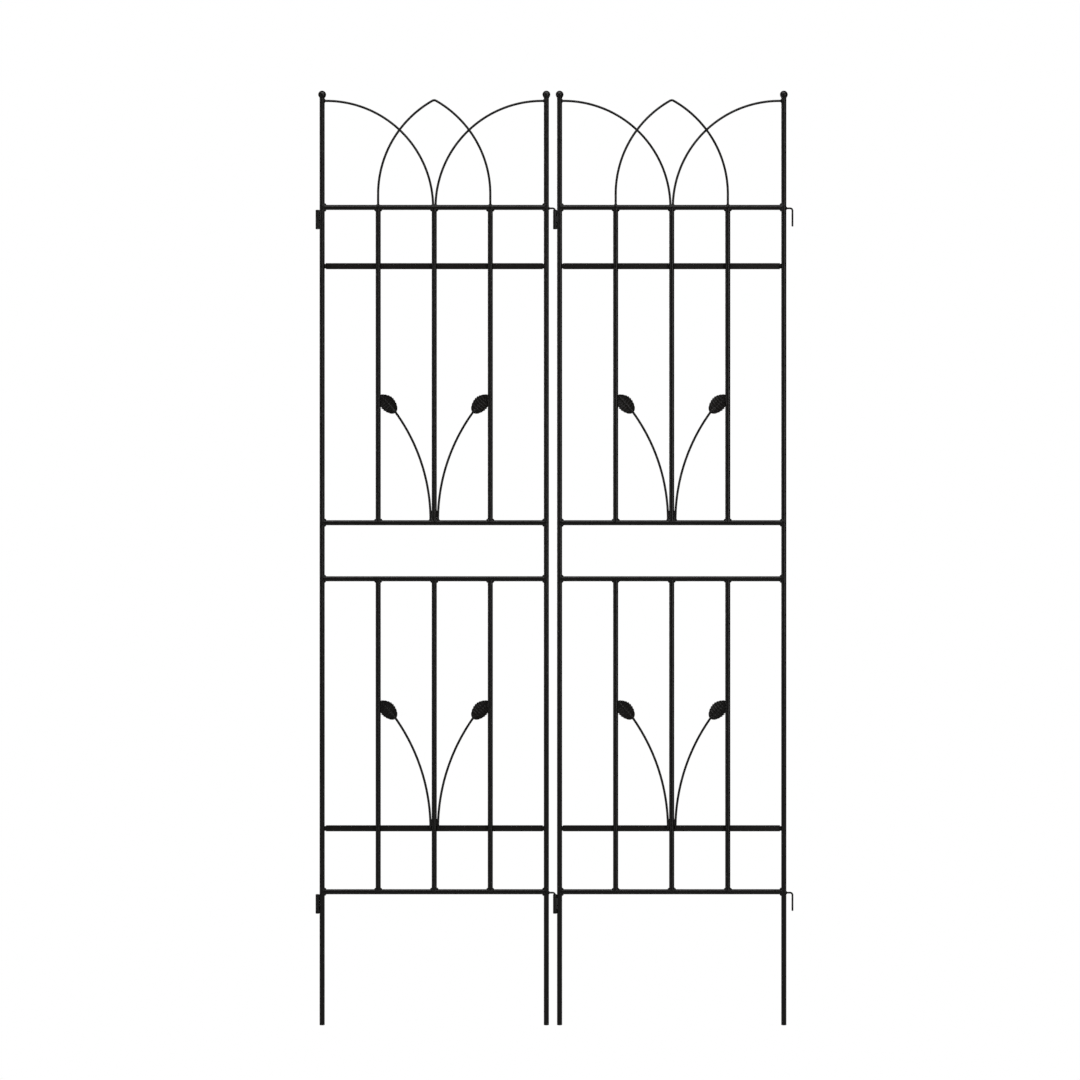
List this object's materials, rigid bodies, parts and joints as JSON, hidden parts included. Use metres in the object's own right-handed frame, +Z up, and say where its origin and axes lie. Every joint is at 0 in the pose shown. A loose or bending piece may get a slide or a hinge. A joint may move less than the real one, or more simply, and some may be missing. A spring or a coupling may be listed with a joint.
{
  "type": "garden trellis panel pair",
  "caption": "Folding pair of flat metal garden trellis panels with a pointed wire crown, leaf sprigs and hook-and-sleeve hinges.",
  "frame": {"origin": "ground level under the middle of the pair, on the centre plane of the tubes", "axes": "+X along the panels towards the free hooks, +Y towards the back, where the flat bars lie, +Z up"},
  "size_m": [1.0228, 0.0175, 1.9999],
  "materials": {
    "coated_tube": "satin",
    "coated_bar": "satin",
    "coated_wire": "satin",
    "coated_ball": "satin",
    "coated_leaf": "satin",
    "coated_weld": "satin"
  },
  "bodies": {
    "left_panel": {"left_sleeve_post": "coated_tube", "left_hook_post": "coated_tube", "left_sleeve_post_ball": "coated_ball", "left_hook_post_ball": "coated_ball", "left_top_rail": "coated_tube", "left_upper_flat_bar": "coated_bar", "left_upper_middle_rail": "coated_tube", "left_lower_middle_rail": "coated_tube", "left_lower_flat_bar": "coated_bar", "left_bottom_rail": "coated_tube", "left_upper_upright_1": "coated_tube", "left_upper_upright_2": "coated_tube", "left_upper_upright_3": "coated_tube", "left_lower_upright_1": "coated_tube", "left_lower_upright_2": "coated_tube", "left_lower_upright_3": "coated_tube", "left_side_arc_1": "coated_wire", "left_side_arc_2": "coated_wire", "left_centre_arch": "coated_wire", "left_upper_stem_1": "coated_wire", "left_upper_stem_2": "coated_wire", "left_lower_stem_1": "coated_wire", "left_lower_stem_2": "coated_wire", "left_upper_leaf_1": "coated_leaf", "left_upper_leaf_2": "coated_leaf", "left_lower_leaf_1": "coated_leaf", "left_lower_leaf_2": "coated_leaf", "left_hooks": "coated_tube", "left_sleeves": "coated_tube", "left_welds": "coated_weld"},
    "right_panel": {"right_sleeve_post": "coated_tube", "right_hook_post": "coated_tube", "right_sleeve_post_ball": "coated_ball", "right_hook_post_ball": "coated_ball", "right_top_rail": "coated_tube", "right_upper_flat_bar": "coated_bar", "right_upper_middle_rail": "coated_tube", "right_lower_middle_rail": "coated_tube", "right_lower_flat_bar": "coated_bar", "right_bottom_rail": "coated_tube", "right_upper_upright_1": "coated_tube", "right_upper_upright_2": "coated_tube", "right_upper_upright_3": "coated_tube", "right_lower_upright_1": "coated_tube", "right_lower_upright_2": "coated_tube", "right_lower_upright_3": "coated_tube", "right_side_arc_1": "coated_wire", "right_side_arc_2": "coated_wire", "right_centre_arch": "coated_wire", "right_upper_stem_1": "coated_wire", "right_upper_stem_2": "coated_wire", "right_lower_stem_1": "coated_wire", "right_lower_stem_2": "coated_wire", "right_upper_leaf_1": "coated_leaf", "right_upper_leaf_2": "coated_leaf", "right_lower_leaf_1": "coated_leaf", "right_lower_leaf_2": "coated_leaf", "right_hooks": "coated_tube", "right_sleeves": "coated_tube", "right_welds": "coated_weld"}
  },
  "joints": [
    {"name": "panel_hinge", "type": "hinge", "parent": "left_panel", "child": "right_panel", "pos_m": [0.00112, 0, 0.285], "axis": [0, 0, 1], "range_deg": [-112, 112]}
  ]
}
